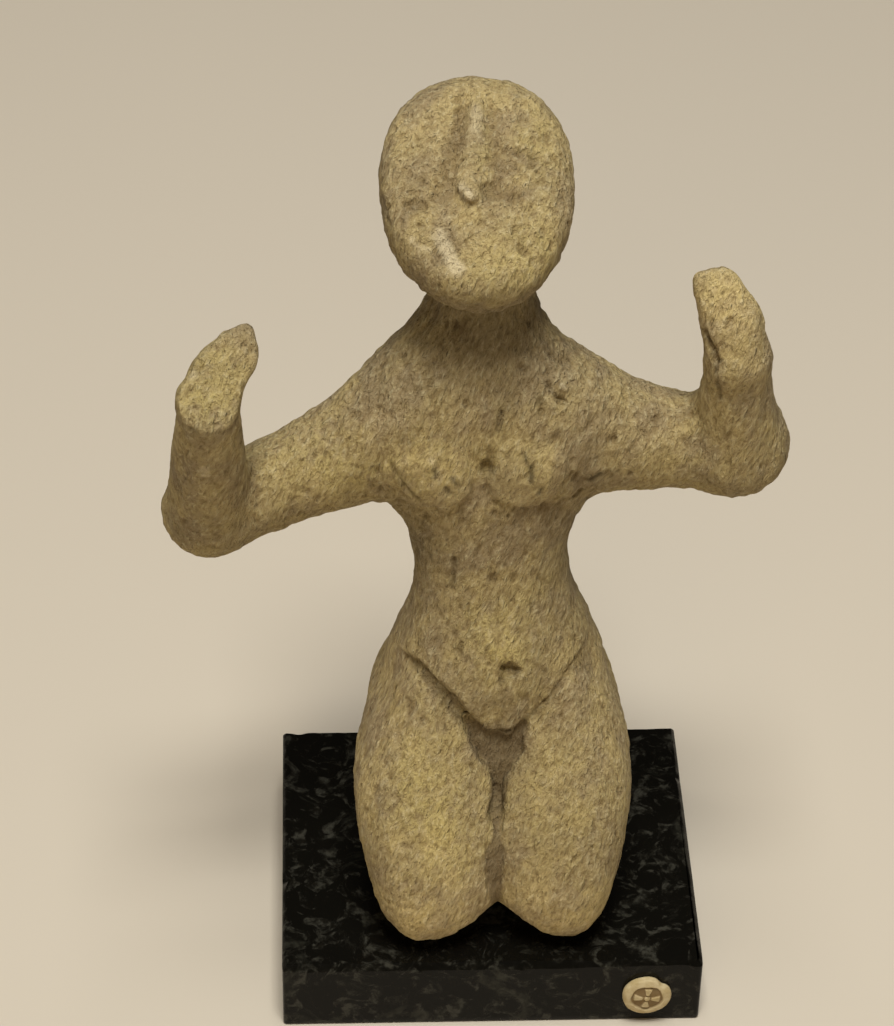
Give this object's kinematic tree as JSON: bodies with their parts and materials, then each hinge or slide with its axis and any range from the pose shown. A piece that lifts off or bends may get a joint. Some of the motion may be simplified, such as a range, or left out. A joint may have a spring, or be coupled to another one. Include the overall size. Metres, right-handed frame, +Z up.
{
  "type": "carved stone figurine on a base",
  "caption": "Small carved stone kneeling figure with a tilted oval face and raised forearms, standing on a polished black stone block with a round seal on its front.",
  "frame": {"origin": "centre of the black base's flat underside", "axes": "+Z up, -Y towards the figure's front and the seal, +X to the right seen from the front"},
  "size_m": [0.1389, 0.0842, 0.2311],
  "materials": {
    "pale_stone": "weathered, pitted, matte",
    "black_stone": "polished, black with grey veins",
    "cream_seal": "matte cast compound"
  },
  "bodies": {
    "root": {"figurine": "pale_stone", "stone_base": "black_stone", "round_seal": "cream_seal"}
  },
  "joints": []
}
